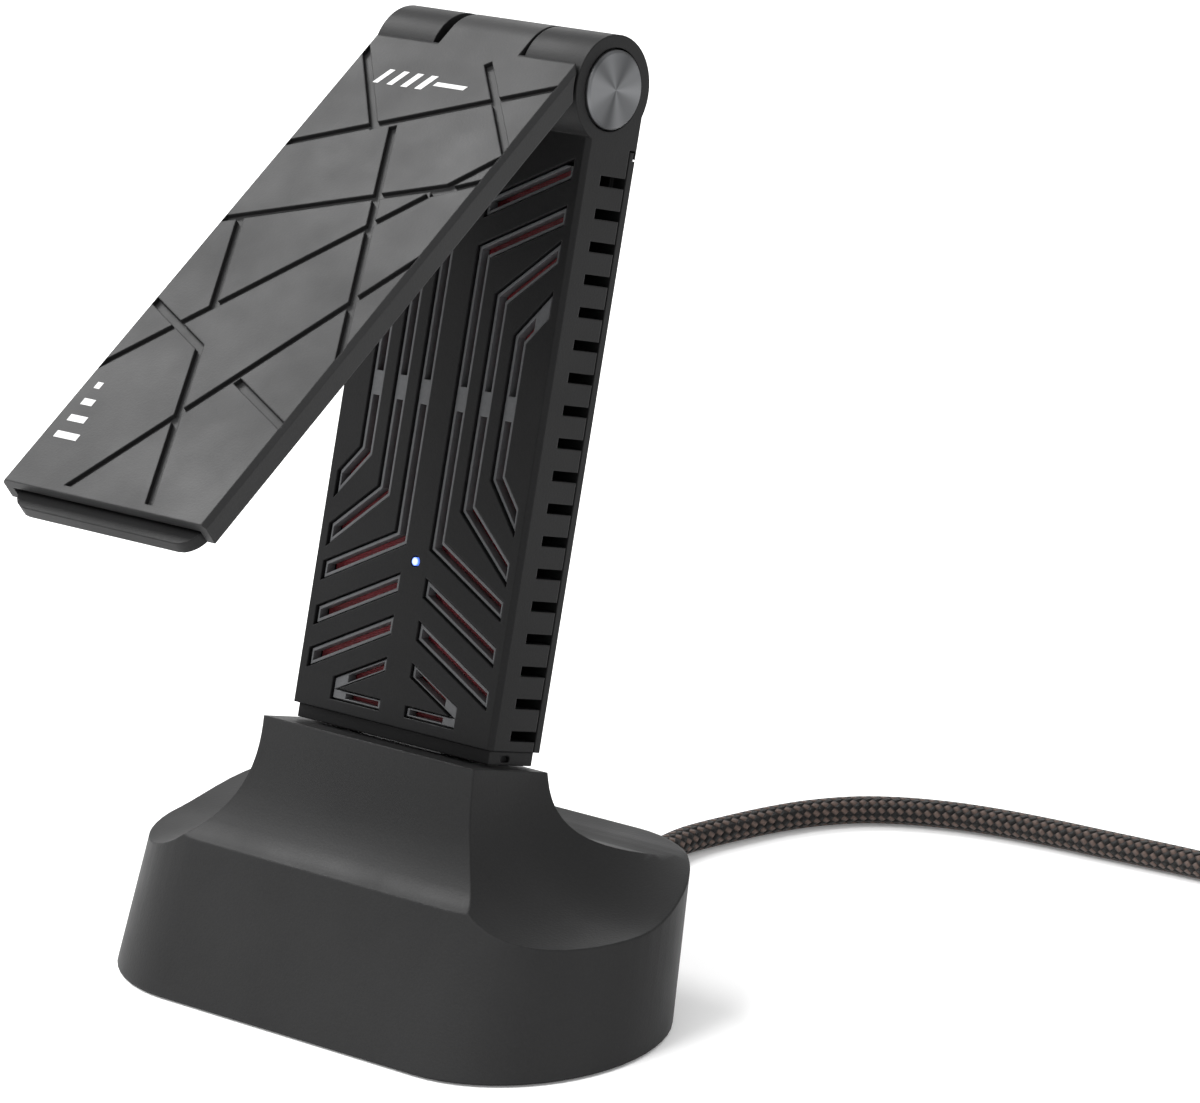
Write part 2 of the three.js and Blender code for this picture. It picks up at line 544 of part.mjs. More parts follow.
function flapCover() {
  const lip = FLAP_INNER - TRAY_STEP;
  const wall = HALF - FLAP_WALL;
  const section = [
    [-HALF, lip], [-HALF, FLAP_FACE + EDGE], [-HALF + EDGE, FLAP_FACE], [HALF - EDGE, FLAP_FACE],
    [HALF, FLAP_FACE + EDGE], [HALF, lip], [wall, lip], [wall, FLAP_FACE + FLAP_PLATE],
    [-wall, FLAP_FACE + FLAP_PLATE], [-wall, lip],
  ];
  let solid = alongZ(section, -FLAP_LENGTH, 0);
  solid = solid.add(box(-wall - 0.1, wall + 0.1, FLAP_FACE + 0.6, lip, -TRAY_START + GAP, 0));
  for (const side of [-1, 1]) {
    const x0 = side < 0 ? -HALF - 1 : TONGUE_RIGHT;
    const x1 = side < 0 ? -TONGUE_LEFT : HALF + 1;
    solid = solid.subtract(rodX(BARREL_RADIUS + EAR_CLEARANCE, x0, x1, 0, 0, 96));
  }
  solid = solid.add(rodX(BARREL_RADIUS, -TONGUE_LEFT, TONGUE_RIGHT, 0, 0, 96));
  solid = solid.subtract(rodX(PIN_RADIUS + GAP, -HALF, HALF, 0, 0, 32));
  const recess = EAR_INNER - WASHER_THICK - 2 * GAP;
  solid = solid.subtract(rodX(WASHER_RADIUS + GAP, recess, TONGUE_RIGHT + 1, 0, 0, 32));
  const window = box(-GROOVE_SIDE, GROOVE_SIDE, FLAP_FACE - 1, FLAP_FACE + GROOVE_DEPTH, -GROOVE_END, 0);
  const grooves = FLAP_GROOVES.map((path) => {
    const line = carried(path, GROOVE_REACH, GROOVE_SIDE + 1).map(([x, u]) => [x, -u]);
    return alongY(band(line, GROOVE_WIDTH), FLAP_FACE - 1, FLAP_FACE + GROOVE_DEPTH);
  });
  return solid.subtract(all(grooves).intersect(window));
}

// the tray that closes the flap's inner side and holds the antenna boards
function flapTray() {
  const half = HALF - FLAP_WALL - GAP;
  const y0 = FLAP_FACE + FLAP_PLATE + 0.55;
  const end = -(FLAP_LENGTH + TRAY_PROUD);
  const corner = (cx, cz, from) => [0, 1, 2, 3, 4, 5].map((i) => {
    const t = (from + i * 18) * DEG;
    return [cx + TRAY_CORNER * Math.cos(t), cz + TRAY_CORNER * Math.sin(t)];
  });
  const outline = [
    [half, -TRAY_START], [-half, -TRAY_START],
    ...corner(-half + TRAY_CORNER, end + TRAY_CORNER, 180),
    ...corner(half - TRAY_CORNER, end + TRAY_CORNER, 270),
  ];
  const slab = alongY(outline, y0, FLAP_INNER);
  const pocket = box(TRAY_WALL - half, half - TRAY_WALL, y0 - 1, FLAP_INNER - TRAY_FLOOR,
    end + TRAY_CORNER + 0.8, -TRAY_START - 1);
  return slab.subtract(pocket);
}

function antennaBoard(side) {
  const y1 = FLAP_INNER - TRAY_FLOOR - 0.1;
  const outer = HALF - FLAP_WALL - GAP - TRAY_WALL - 0.7;
  const x0 = side < 0 ? -outer : 0.6;
  return box(x0, x0 + outer - 0.6, y1 - 0.4, y1, -FLAP_LENGTH + 4, -FLAP_LENGTH + 40);
}

// ---- the cradle ----
const TAN = (angle) => Math.tan(angle * DEG);

function stadium(halfLength, halfDepth, segments = 28) {
  const points = [];
  for (const [centre, from] of [[halfLength - halfDepth, -90], [-(halfLength - halfDepth), 90]]) {
    for (let i = 0; i <= segments; i += 1) {
      const t = (from + (180 * i) / segments) * DEG;
      points.push([centre + halfDepth * Math.cos(t), halfDepth * Math.sin(t)]);
    }
  }
  return points;
}

// a rounded block whose walls taper and lean back as they rise
function leaningBlock(inset, z0, z1) {
  const length = FOOT_HALF_LENGTH - inset;
  const depth = FOOT_HALF_DEPTH - inset;
  const geometry = extrude(stadium(length, depth), z1 - z0);
  geometry.translate(0, 0, z0);
  const position = geometry.attributes.position;
  for (let i = 0; i < position.count; i += 1) {
    const z = position.getZ(i);
    position.setX(i, position.getX(i) * (length - z * TAN(END_DRAFT)) / length);
    const y = position.getY(i) * (depth - z * TAN(FACE_DRAFT)) / depth;
    position.setY(i, y + z * TAN(WALL_LEAN));
  }
  return toSolid(geometry);
}

// how far a hollow curve has swept out at a share of its drop, from 0 to 1
function sweep(share, fullness) {
  return 1 - (1 - share ** fullness) ** (1 / fullness);
}

function curvePoints([reach, drop, fullness], steps = 22) {
  const points = [];
  for (let i = 0; i <= steps; i += 1) {
    const share = Math.sin((90 * i * DEG) / steps);
    points.push([reach * sweep(share, fullness), drop * share]);
  }
  return points;
}

function widthProfile() {
  const right = curvePoints(SIDE_CURVE).map(([out, down]) => [NECK_HALF_WIDTH + out, NECK_TOP - down]);
  const left = right.map(([x, z]) => [-x, z]).reverse();
  const low = NECK_TOP - SIDE_CURVE[1];
  return [
    [-60, -1], [60, -1], [60, low], ...right.reverse(), [NECK_HALF_WIDTH, 40],
    [-NECK_HALF_WIDTH, 40], ...left.reverse(), [-60, low],
  ];
}

function depthProfile() {
  const back = curvePoints(BACK_CURVE).map(([out, down]) => [
    NECK_BACK_Y + out - down * TAN(CURVE_LEAN), NECK_BACK_TOP - down,
  ]);
  const front = curvePoints(FRONT_CURVE).map(([out, down]) => [
    NECK_FRONT_Y - out - down * TAN(CURVE_LEAN), NECK_TOP - down,
  ]);
  return [
    [-60, -1], [60, -1], [60, NECK_BACK_TOP - BACK_CURVE[1]], ...back.reverse(), [NECK_BACK_Y, 40],
    [NECK_FRONT_Y, 40], ...front, [-60, NECK_TOP - FRONT_CURVE[1]],
  ];
}

function screwPlaces() {
  return [
    [-SCREW_X, SCREW_FRONT_Y], [SCREW_X, SCREW_FRONT_Y], [SCREW_X, SCREW_BACK_Y], [-SCREW_X, SCREW_BACK_Y],
  ];
}

// the block under the side curves, whose foot comes up towards the back
function sideBlock() {
  const geometry = extrude(widthProfile(), 60, 36);
  geometry.rotateX(90 * DEG);
  geometry.translate(0, 30, 0);
  const position = geometry.attributes.position;
  for (let i = 0; i < position.count; i += 1) {
    const share = Math.min(Math.max((position.getY(i) - RISE_FROM) / (RISE_TO - RISE_FROM), 0), 1);
    if (position.getZ(i) > 0 && position.getZ(i) < NECK_TOP) {
      const low = Math.min(1, (NECK_TOP - position.getZ(i)) / 6);
      position.setZ(i, position.getZ(i) + SIDE_RISE * low * share * share * (3 - 2 * share));
    }
  }
  return toSolid(geometry);
}

const MOUTH = -COLLAR_HEIGHT - GAP; // top of the cradle's neck, in the adapter's frame
const PLATE_TOP = PAD_THICK + GAP + PLATE_THICK;

function cradleShell() {
  let solid = leaningBlock(0, RIM_Z, 34);
  solid = solid.intersect(sideBlock());
  solid = solid.intersect(alongX(depthProfile(), -60, 60));
  solid = solid.subtract(seated(box(-40, 40, -40, 40, MOUTH, 40)));
  let cavity = leaningBlock(SHELL_WALL, -1, CAVITY_TOP);
  for (const [x, y] of screwPlaces()) {
    cavity = cavity.subtract(rodZ(BOSS_RADIUS, PLATE_TOP + GAP, 30, x, y));
  }
  solid = solid.subtract(cavity);
  solid = solid.subtract(seated(box(-NECK_HOLLOW, NECK_HOLLOW, PLUG_Y - PLUG_DEPTH / 2 - 1.75,
    PLUG_Y + PLUG_DEPTH / 2 + 1.35, SOCKET_BOTTOM - 1.6, SOCKET_TOP + 0.3)));
  solid = solid.subtract(seated(plugBlock(GAP, MOUTH - 3, MOUTH + 1)));
  for (const [x, y] of screwPlaces()) {
    solid = solid.subtract(rodZ(1.2, 0, CAVITY_TOP - 1, x, y));
  }
  return solid.subtract(rodY(RELIEF_RADIUS + 0.6, 10, FOOT_HALF_DEPTH + 14, 0, EXIT_Z));
}

function basePlate() {
  let plate = leaningBlock(SHELL_WALL + GAP, PAD_THICK + GAP, PLATE_TOP);
  for (const [x, y] of screwPlaces()) {
    plate = plate.subtract(rodZ(1.2, -1, 5, x, y));
    plate = plate.subtract(rodZ(2.2, -1, PAD_THICK + GAP + 0.8, x, y));
  }
  return plate;
}

function footPad() {
  return leaningBlock(SHELL_WALL + GAP, 0, PAD_THICK);
}

function baseScrew([x, y]) {
  const head = rodZ(1.9, PAD_THICK + GAP + 0.05, PAD_THICK + GAP + 0.7, x, y);
  const shank = rodZ(0.9, PAD_THICK + GAP + 0.1, CAVITY_TOP - 2, x, y);
  const slot = all([box(x - 1.1, x + 1.1, y - 0.2, y + 0.2, 0, PAD_THICK + GAP + 0.35),
    box(x - 0.2, x + 0.2, y - 1.1, y + 1.1, 0, PAD_THICK + GAP + 0.35)]);
  return head.add(shank).subtract(slot);
}

function ballast(side) {
  const inner = NECK_HOLLOW + GAP;
  const outer = SCREW_X + 8.5;
  const beside = BOSS_RADIUS + 0.8;
  const [x0, x1] = side < 0 ? [-outer, -inner] : [inner, outer];
  return box(x0, x1, SCREW_FRONT_Y + beside, SCREW_BACK_Y - beside, PLATE_TOP + GAP, CAVITY_TOP - 0.6);
}

// ---- the cradle's socket, in the adapter's frame ----
const SOCKET_TOP = MOUTH - 2.5;
const SOCKET_BOTTOM = SOCKET_TOP - SOCKET_LENGTH;

function socketShell() {
  return plugBlock(GAP + 0.3, SOCKET_BOTTOM, SOCKET_TOP)
    .subtract(plugBlock(GAP, SOCKET_BOTTOM - 1, SOCKET_TOP + 1));
}

function socketTongue() {
  const front = PLUG_Y - PLUG_DEPTH / 2 + PLUG_WALL + GAP;
  const rear = TONGUE_FRONT - 0.05 - CONTACT_THICK - GAP;
  const half = PLUG_WIDTH / 2 - PLUG_WALL - 1;
  const bar = box(-half, half, front, rear, PLUG_BOTTOM - 1, SOCKET_TOP - 1.5);
  const x = PLUG_WIDTH / 2 - 0.4;
  const y = PLUG_DEPTH / 2 - 0.25;
  return bar.add(box(-x, x, PLUG_Y - y, PLUG_Y + y, SOCKET_BOTTOM + 0.1, PLUG_BOTTOM - GAP));
}

function cradleBoard() {
  return box(1 - NECK_HOLLOW, NECK_HOLLOW - 1, PLUG_Y - PLUG_DEPTH / 2 - 1.05,
    PLUG_Y + PLUG_DEPTH / 2 + 0.85, SOCKET_BOTTOM - GAP - 1, SOCKET_BOTTOM - GAP);
}

// ---- the cable ----
function strainRelief() {
  const r = RELIEF_RADIUS;
  const y = RELIEF_START_Y;
  const profile = [
    [0, y], [r + 0.8, y], [r + 0.8, y + 1.3], [r + 0.3, y + 1.6], [r + 0.3, y + 6.7],
    [r + 0.9, y + 6.8], [r + 0.9, y + 8], [r, RELIEF_END_Y], [0, RELIEF_END_Y],
  ];
  const geometry = new THREE.LatheGeometry(profile.map(([r, h]) => new THREE.Vector2(r, h)), 24);
  geometry.translate(0, 0, EXIT_Z);
  return toSolid(geometry);
}

function tube(points, steps) {
  const curve = new THREE.CatmullRomCurve3(points.map(([x, y, z]) => new THREE.Vector3(x, y, z)), false,
    'centripetal');
  const section = new THREE.Shape(circle(CABLE_DIAMETER / 2, 0, 0, CABLE_SIDES)
    .map(([a, b]) => new THREE.Vector2(a, b)));
  return toSolid(new THREE.ExtrudeGeometry(section, { steps, bevelEnabled: false, extrudePath: curve }));
}

function cableLead() {
  return tube(CABLE_ROUTE, 26);
}

function cableCoil() {
  const inner = COIL_RADIUS - COIL_HALF_WIDTH;
  const outer = COIL_RADIUS + COIL_HALF_WIDTH;
  const profile = [
    [inner, 1], [inner + 1, 0], [outer - 1, 0], [outer, 1], [outer, COIL_HEIGHT - 1.5],
    [outer - 1.5, COIL_HEIGHT], [inner + 1.5, COIL_HEIGHT], [inner, COIL_HEIGHT - 1.5], [inner, 1],
  ];
  const geometry = new THREE.LatheGeometry(profile.map(([r, h]) => new THREE.Vector2(r, h)), 48);
  geometry.rotateX(90 * DEG);
  geometry.translate(COIL_CENTRE[0], COIL_CENTRE[1], 0);
  return toSolid(geometry);
}

// hook-and-loop band around the bundle of turns, on the side away from the cable's entry
function cableTie() {
  const x = COIL_CENTRE[0];
  const y = COIL_CENTRE[1] - COIL_RADIUS;
  const reach = COIL_HALF_WIDTH + 0.6;
  const outer = box(x - 4, x + 4, y - reach - 0.8, y + reach + 0.8, 0, COIL_HEIGHT + 1.1);
  const ring = coilSleeve(GAP);
  return outer.subtract(ring);
}

function coilSleeve(grow) {
  const inner = COIL_RADIUS - COIL_HALF_WIDTH - grow;
  const outer = COIL_RADIUS + COIL_HALF_WIDTH + grow;
  const top = COIL_HEIGHT + grow;
  const profile = [[inner, -1], [outer, -1], [outer, top], [inner, top], [inner, -1]];
  const geometry = new THREE.LatheGeometry(profile.map(([r, h]) => new THREE.Vector2(r, h)), 48);
  geometry.rotateX(90 * DEG);
  geometry.translate(COIL_CENTRE[0], COIL_CENTRE[1], 0);
  return toSolid(geometry);
}

const FAR_Z = FAR_BODY_DEPTH / 2;
const FAR_SEAT = 4; // length of the plug's metal shell held in the moulding
const FAR_BOTTOM = PLUG_TOP - PLUG_LENGTH - FAR_SEAT;
function cableTail() {
  const points = [];
  for (let i = 0; i <= 6; i += 1) {
    const t = (70 - i * 70 / 6) * DEG;
    const x = FAR_PLUG_X - TAIL_BEND * (1 - Math.cos(t));
    points.push([x, TAIL_Y - TAIL_BEND * (1 - Math.sin(t)), FAR_Z + 3.2 * (1 - i / 6) ** 1.5]);
  }
  return tube(points, 6);
}

function farPlugBody() {
  const c = 1.6;
  const w = FAR_BODY_WIDTH / 2;
  const h = FAR_BODY_DEPTH;
  const section = [
    [FAR_PLUG_X - w, c], [FAR_PLUG_X - w + c, 0], [FAR_PLUG_X + w - c, 0], [FAR_PLUG_X + w, c],
    [FAR_PLUG_X + w, h - c], [FAR_PLUG_X + w - c, h], [FAR_PLUG_X - w + c, h], [FAR_PLUG_X - w, h - c],
  ];
  const moulding = alongY(section, FAR_PLUG_Y - FAR_BODY_LENGTH, FAR_PLUG_Y);
  const relief = rodY(2.7, FAR_PLUG_Y - 1, FAR_PLUG_Y + FAR_RELIEF, FAR_PLUG_X, FAR_Z, 24);
  const pocket = toSolid(farPlaced(plugBlock(GAP, FAR_BOTTOM, PLUG_TOP + GAP)));
  return moulding.add(relief).subtract(pocket);
}

// turns a plug piece from its own frame, where it points along -Z, to lie along -Y
function farPlaced(solid) {
  const geometry = toGeometry(solid);
  geometry.translate(0, -PLUG_Y, -PLUG_TOP);
  geometry.rotateX(-90 * DEG);
  geometry.translate(FAR_PLUG_X, FAR_PLUG_Y - FAR_BODY_LENGTH + FAR_SEAT, FAR_Z);
  return geometry;
}

// ---- placing ----
// from the adapter's frame to where it sits in the cradle
function seat(geometry) {
  geometry.rotateX(-LEAN * DEG);
  geometry.translate(0, SEAT_Y, SEAT_Z);
  return geometry;
}

function seated(solid) {
  return toSolid(seat(toGeometry(solid)));
}

// from the flap's frame to its open angle on the seated adapter
function hung(geometry) {
  geometry.rotateX(-FLAP_OPEN * DEG);
  geometry.translate(0, HINGE_Y, HINGE_HEIGHT);
  return seat(geometry);
}

const group = new THREE.Group();
group.name = 'usb_wifi_adapter';

function addMesh(name, geometry, look) {
  const mesh = new THREE.Mesh(geometry, look.clone());
  mesh.name = name;
  group.add(mesh);
}

const inPlace = (solid) => toGeometry(solid);
const onSeat = (solid) => seat(toGeometry(solid));
const onFlap = (solid) => hung(toGeometry(solid));

addMesh('cradle_shell', inPlace(cradleShell()), BLACK);
addMesh('cradle_base_plate', inPlace(basePlate()), BLACK_SOFT);
addMesh('cradle_foot_pad', inPlace(footPad()), BLACK_SOFT);
screwPlaces().forEach((place, i) => addMesh(`cradle_screw_${i + 1}`, inPlace(baseScrew(place)), STEEL));
addMesh('cradle_ballast_left', inPlace(ballast(-1)), STEEL);
addMesh('cradle_ballast_right', inPlace(ballast(1)), STEEL);
addMesh('socket_shell', onSeat(socketShell()), STEEL);
addMesh('socket_tongue', onSeat(socketTongue()), WHITE);
addMesh('cradle_board', onSeat(cradleBoard()), BOARD);

addMesh('cable_relief', inPlace(strainRelief()), BLACK_SOFT);
addMesh('cable_lead', inPlace(cableLead()), CABLE);
addMesh('cable_coil', inPlace(cableCoil()), CABLE);
addMesh('cable_tie', inPlace(cableTie()), BLACK_SOFT);
addMesh('cable_tail', inPlace(cableTail()), CABLE);
addMesh('far_plug_body', inPlace(farPlugBody()), BLACK_SOFT);
addMesh('far_plug_shell', farPlaced(plugShellGeneric(PLUG_TOP, FAR_BOTTOM)), STEEL);
addMesh('far_plug_tongue', farPlaced(plugTongueGeneric(PLUG_TOP, FAR_BOTTOM)), WHITE);
for (let i = 0; i < CONTACT_COUNT; i += 1) {
  addMesh(`far_plug_contact_${i + 1}`, farPlaced(plugContactGeneric(i, FAR_BOTTOM)), GOLD);
}

addMesh('body_shell', onSeat(bodyShell()), BLACK);
addMesh('back_cover', onSeat(backCover()), BLACK);
addMesh('vent_frame', onSeat(ventFrame()), GREY);
addMesh('vent_liner', onSeat(ventLiner()), RED);
addMesh('main_board', onSeat(mainBoard()), BOARD);
addMesh('radio_shield', onSeat(radioShield()), STEEL);
addMesh('thermal_pad', onSeat(thermalPad()), PAD);
addMesh('light_pipe', onSeat(lightPipe()), LIGHT);
addMesh('light_chip', onSeat(lightChip()), WHITE);
addMesh('plug_collar', onSeat(plugCollar()), BLACK);
addMesh('plug_shell', onSeat(plugShellGeneric(PLUG_TOP, PLUG_BOTTOM)), STEEL);
addMesh('plug_tongue', onSeat(plugTongueGeneric(PLUG_TOP, PLUG_BOTTOM)), WHITE);
for (let i = 0; i < CONTACT_COUNT; i += 1) {
  addMesh(`plug_contact_${i + 1}`, onSeat(plugContactGeneric(i, PLUG_BOTTOM)), GOLD);
}
addMesh('hinge_pin', onSeat(hingePin()), STEEL);
addMesh('hinge_washer_left', onSeat(hingeWasher(-1)), BLACK_SOFT);
addMesh('hinge_washer_right', onSeat(hingeWasher(1)), BLACK_SOFT);
addMesh('hinge_disc_left', seat(toGeometry(hingeDisc(-1))), SPUN);
addMesh('hinge_disc_right', seat(toGeometry(hingeDisc(1))), SPUN);

addMesh('flap_cover', onFlap(flapCover()), BLACK);
addMesh('flap_tray', onFlap(flapTray()), BLACK);
addMesh('antenna_board_left', onFlap(antennaBoard(-1)), BOARD);
addMesh('antenna_board_right', onFlap(antennaBoard(1)), BOARD);

export default group;
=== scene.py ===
import math

import bmesh
import bpy
from mathutils import Matrix, Vector


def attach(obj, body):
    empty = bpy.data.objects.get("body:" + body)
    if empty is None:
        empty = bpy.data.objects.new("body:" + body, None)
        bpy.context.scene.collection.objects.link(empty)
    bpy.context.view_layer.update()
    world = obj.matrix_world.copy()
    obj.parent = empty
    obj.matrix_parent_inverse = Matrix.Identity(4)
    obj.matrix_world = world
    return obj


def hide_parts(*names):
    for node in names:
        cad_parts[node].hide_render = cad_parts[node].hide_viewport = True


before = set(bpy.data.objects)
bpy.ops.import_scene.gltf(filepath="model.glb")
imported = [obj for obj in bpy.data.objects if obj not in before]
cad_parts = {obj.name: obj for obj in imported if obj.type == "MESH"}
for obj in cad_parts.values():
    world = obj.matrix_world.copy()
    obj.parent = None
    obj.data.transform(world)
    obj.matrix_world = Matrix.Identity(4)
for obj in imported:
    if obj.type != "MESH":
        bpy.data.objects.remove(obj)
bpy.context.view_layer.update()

# ---------------------------------------------------------------- camera, floor and light
# A long lens a little above the desk, looking at the front right corner.
camera_data = bpy.data.cameras.new("camera")
camera_data.lens = 173.62
camera_data.sensor_width = 36
camera_data.clip_start = 0.01
camera_data.clip_end = 20
camera = bpy.data.objects.new("camera", camera_data)
bpy.context.collection.objects.link(camera)
forward = Vector((-0.64482, 0.70288, -0.30027)).normalized()
right = Vector((0.74622, 0.66394, -0.04831))
right = (right - forward * right.dot(forward)).normalized()
up = right.cross(forward)
camera.matrix_world = Matrix((
    (right.x, up.x, -forward.x, 0.419745),
    (right.y, up.y, -forward.y, -0.419695),
    (right.z, up.z, -forward.z, 0.235962),
    (0, 0, 0, 1),
))
bpy.context.scene.camera = camera


def node_material(name):
    """An empty node material with its Principled shader and output joined."""
    mat = bpy.data.materials.new(name)
    mat.use_nodes = True
    return mat, mat.node_tree.nodes, mat.node_tree.links, mat.node_tree.nodes["Principled BSDF"]


bpy.ops.mesh.primitive_plane_add(size=6, location=(0, 0, 0))
floor = bpy.context.object
floor.name = "studio_floor"
mat, nodes, links, shader = node_material("studio_floor")
shader.inputs["Roughness"].default_value = 0.75
shader.inputs["Specular IOR Level"].default_value = 0.1
shader.inputs["Emission Color"].default_value = (1, 1, 1, 1)
shader.inputs["Emission Strength"].default_value = 0.12
place = nodes.new("ShaderNodeTexCoord")
paper = nodes.new("ShaderNodeTexNoise")
paper.inputs["Scale"].default_value = 9
links.new(place.outputs["Object"], paper.inputs["Vector"])
paint = nodes.new("ShaderNodeMix")
paint.data_type = "RGBA"
paint.inputs["A"].default_value = (0.93, 0.93, 0.93, 1)
paint.inputs["B"].default_value = (0.95, 0.95, 0.95, 1)
links.new(paper.outputs["Fac"], paint.inputs["Factor"])
links.new(paint.outputs["Result"], shader.inputs["Base Color"])
floor.data.materials.append(mat)


def soft_light(name, place, target, width, height, power):
    """A large rectangular studio light aimed at a point."""
    data = bpy.data.lights.new(name, "AREA")
    data.shape = "RECTANGLE"
    data.size = width
    data.size_y = height
    data.energy = power
    lamp = bpy.data.objects.new(name, data)
    bpy.context.collection.objects.link(lamp)
    way = Vector(target) - Vector(place)
    lamp.matrix_world = (
        Matrix.Translation(place) @ way.to_track_quat("-Z", "Y").to_matrix().to_4x4())


soft_light("key_light", (-0.35, -0.75, 1.15), (0, 0, 0.05), 0.9, 0.7, 19)
soft_light("left_light", (-0.95, 0.10, 1.05), (0, 0, 0.02), 0.45, 0.45, 9)
soft_light("side_light", (1.2, -0.15, 0.45), (0, 0, 0.05), 0.5, 0.7, 1.5)
soft_light("back_light", (-0.6, 1.2, 0.5), (0, 0, 0.05), 1.0, 0.3, 2)
world = bpy.data.worlds.new("studio")
bpy.context.scene.world = world
world.use_nodes = True
world.node_tree.nodes["Background"].inputs["Color"].default_value = (1, 1, 1, 1)
world.node_tree.nodes["Background"].inputs["Strength"].default_value = 0.8
bpy.context.scene.view_settings.view_transform = "Standard"

# ---------------------------------------------------------------- the cable
# A thin round cable in a black and brown braided sleeve. It drops from the cradle's back to the
# desk, runs off to the right and is wound in a neat coil that ends in its USB plug.
CABLE_D = 0.0032
CABLE_Z = 0.0017  # centre line where it lies on the desk
LEAD_Y = 0.0778
TURN_STEP = 0.00325  # from one turn to the next
COIL_R = 0.018  # middle turn
COIL_X = 0.107
COIL_Y = LEAD_Y - COIL_R - TURN_STEP

route = [Vector(p) for p in (
    (0, 0.0270, 0.0060), (0, 0.0310, 0.0055), (-0.0003, 0.0360, 0.0040),
    (-0.0007, 0.0410, 0.0025), (-0.0009, 0.0460, CABLE_Z), (-0.0007, 0.0510, CABLE_Z),
    (0.0010, 0.0565, CABLE_Z), (0.0030, 0.0615, CABLE_Z), (0.0056, 0.0660, CABLE_Z),
    (0.0094, 0.0700, CABLE_Z), (0.0142, 0.0728, CABLE_Z), (0.0200, 0.0748, CABLE_Z),
    (0.0262, 0.0760, CABLE_Z), (0.0330, 0.0767, CABLE_Z), (0.0400, 0.0771, CABLE_Z),
    (0.0465, 0.0775, CABLE_Z), (0.0530, LEAD_Y, CABLE_Z), (0.0620, LEAD_Y, CABLE_Z),
    (0.0720, LEAD_Y, CABLE_Z), (0.0830, LEAD_Y, CABLE_Z), (0.0940, LEAD_Y, CABLE_Z),
)]


def smooth_path(points, per_span):
    """Catmull-Rom points through the given ones."""
    out = []
    ends = [points[0] * 2 - points[1]] + list(points) + [points[-1] * 2 - points[-2]]
    for a, b, c, d in zip(ends, ends[1:], ends[2:], ends[3:]):
        for k in range(per_span):
            t = k / per_span
            out.append(0.5 * ((2 * b) + (c - a) * t + (2 * a - 5 * b + 4 * c - d) * t * t
                              + (3 * b - a - 3 * c + d) * t ** 3))
    out.append(points[-1].copy())
    return out


# turn radius and height at the start of each turn; three turns lie on the desk, three on those
# and the last one on top
SECOND_LAYER_Z = 0.0049
TOP_TURN_Z = 0.0077
TOP_TURN_R = COIL_R + TURN_STEP / 2
turns = [(COIL_R + TURN_STEP, CABLE_Z), (COIL_R, CABLE_Z), (COIL_R - TURN_STEP, CABLE_Z),
         (COIL_R - TURN_STEP, SECOND_LAYER_Z), (COIL_R, SECOND_LAYER_Z),
         (COIL_R + TURN_STEP, SECOND_LAYER_Z), (TOP_TURN_R, TOP_TURN_Z)]
TURN_POINTS = 40
coil = []
for i, (radius, height) in enumerate(turns):
    after = turns[min(i + 1, len(turns) - 1)]
    for k in range(TURN_POINTS):
        share = max(0.0, k / TURN_POINTS * 4 - 3)
        share = share * share * (3 - 2 * share)
        r = radius + (after[0] - radius) * share
        z = height + (after[1] - height) * share
        angle = math.radians(90 - 360 * k / TURN_POINTS)
        coil.append(Vector((COIL_X + r * math.cos(angle), COIL_Y + r * math.sin(angle), z)))
# the end leaves the top turn, bends round beside the coil and comes down to the plug's height
tail_y = COIL_Y + TOP_TURN_R
TAIL_BEND = 0.022
PLUG_Z = 0.0038
COIL_HALF_WIDTH = 0.005
PLUG_HALF_WIDTH = 0.00775
PLUG_CLEARANCE = 0.0013
plug_x = COIL_X + COIL_R + COIL_HALF_WIDTH + PLUG_HALF_WIDTH + PLUG_CLEARANCE
bend_x = plug_x - TAIL_BEND
tail = [Vector((x, tail_y, TOP_TURN_Z)) for x in (COIL_X, COIL_X + 0.004, bend_x - 0.004)]
for k in range(10):
    t = math.radians(90 - 10 * k)
    fall = min(1, max(0, (k - 1) / 7))
    drop = 1 - fall * fall * (3 - 2 * fall)
    tail.append(Vector((bend_x + TAIL_BEND * math.cos(t), tail_y - TAIL_BEND * (1 - math.sin(t)),
                        PLUG_Z + (TOP_TURN_Z - PLUG_Z) * drop)))
cable_path = smooth_path(route, 5)[:-1] + coil + smooth_path(tail, 3)
TUBE_SIDES = 20


